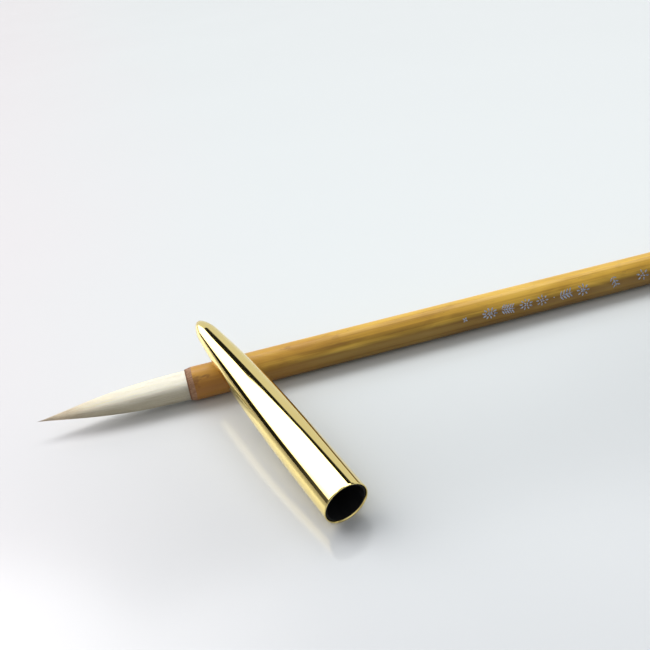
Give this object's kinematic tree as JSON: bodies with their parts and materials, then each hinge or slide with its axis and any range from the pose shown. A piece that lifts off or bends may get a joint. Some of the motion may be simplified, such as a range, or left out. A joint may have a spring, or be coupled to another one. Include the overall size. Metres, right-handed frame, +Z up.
{
  "type": "calligraphy brush",
  "caption": "Bamboo-handled calligraphy brush lying flat, with a pointed pale hair tuft and its long rounded gold cap leaned across the handle.",
  "frame": {"origin": "centre of the outline from above, on the table under the brush", "axes": "+X along the handle towards its tail, +Z up"},
  "size_m": [0.2466, 0.0724, 0.0166],
  "materials": {
    "bamboo": "golden brown lacquer over bamboo, satin gloss",
    "plug_wood": "turned dark wood, waxed",
    "glue": "set amber glue",
    "resin": "hardened brown resin",
    "thread": "twisted thread",
    "core_hair": "fine straight animal hair, cream to beige",
    "outer_hair": "fine straight animal hair, creamy white",
    "gold_plate": "mirror-polished gold plate",
    "black_sleeve": "dull black"
  },
  "bodies": {
    "brush": {"handle_tube": "bamboo", "end_plug": "plug_wood", "socket_glue": "glue", "root_seal": "resin", "root_binding": "thread", "tuft_core": "core_hair", "tuft_mantle": "outer_hair"},
    "cap": {"cap_shell": "gold_plate", "cap_liner": "black_sleeve"}
  },
  "joints": [
    {"name": "cap_lift", "type": "slide", "parent": "brush", "child": "cap", "axis": [0, 0, 1], "range_m": [0, 0.08]}
  ]
}
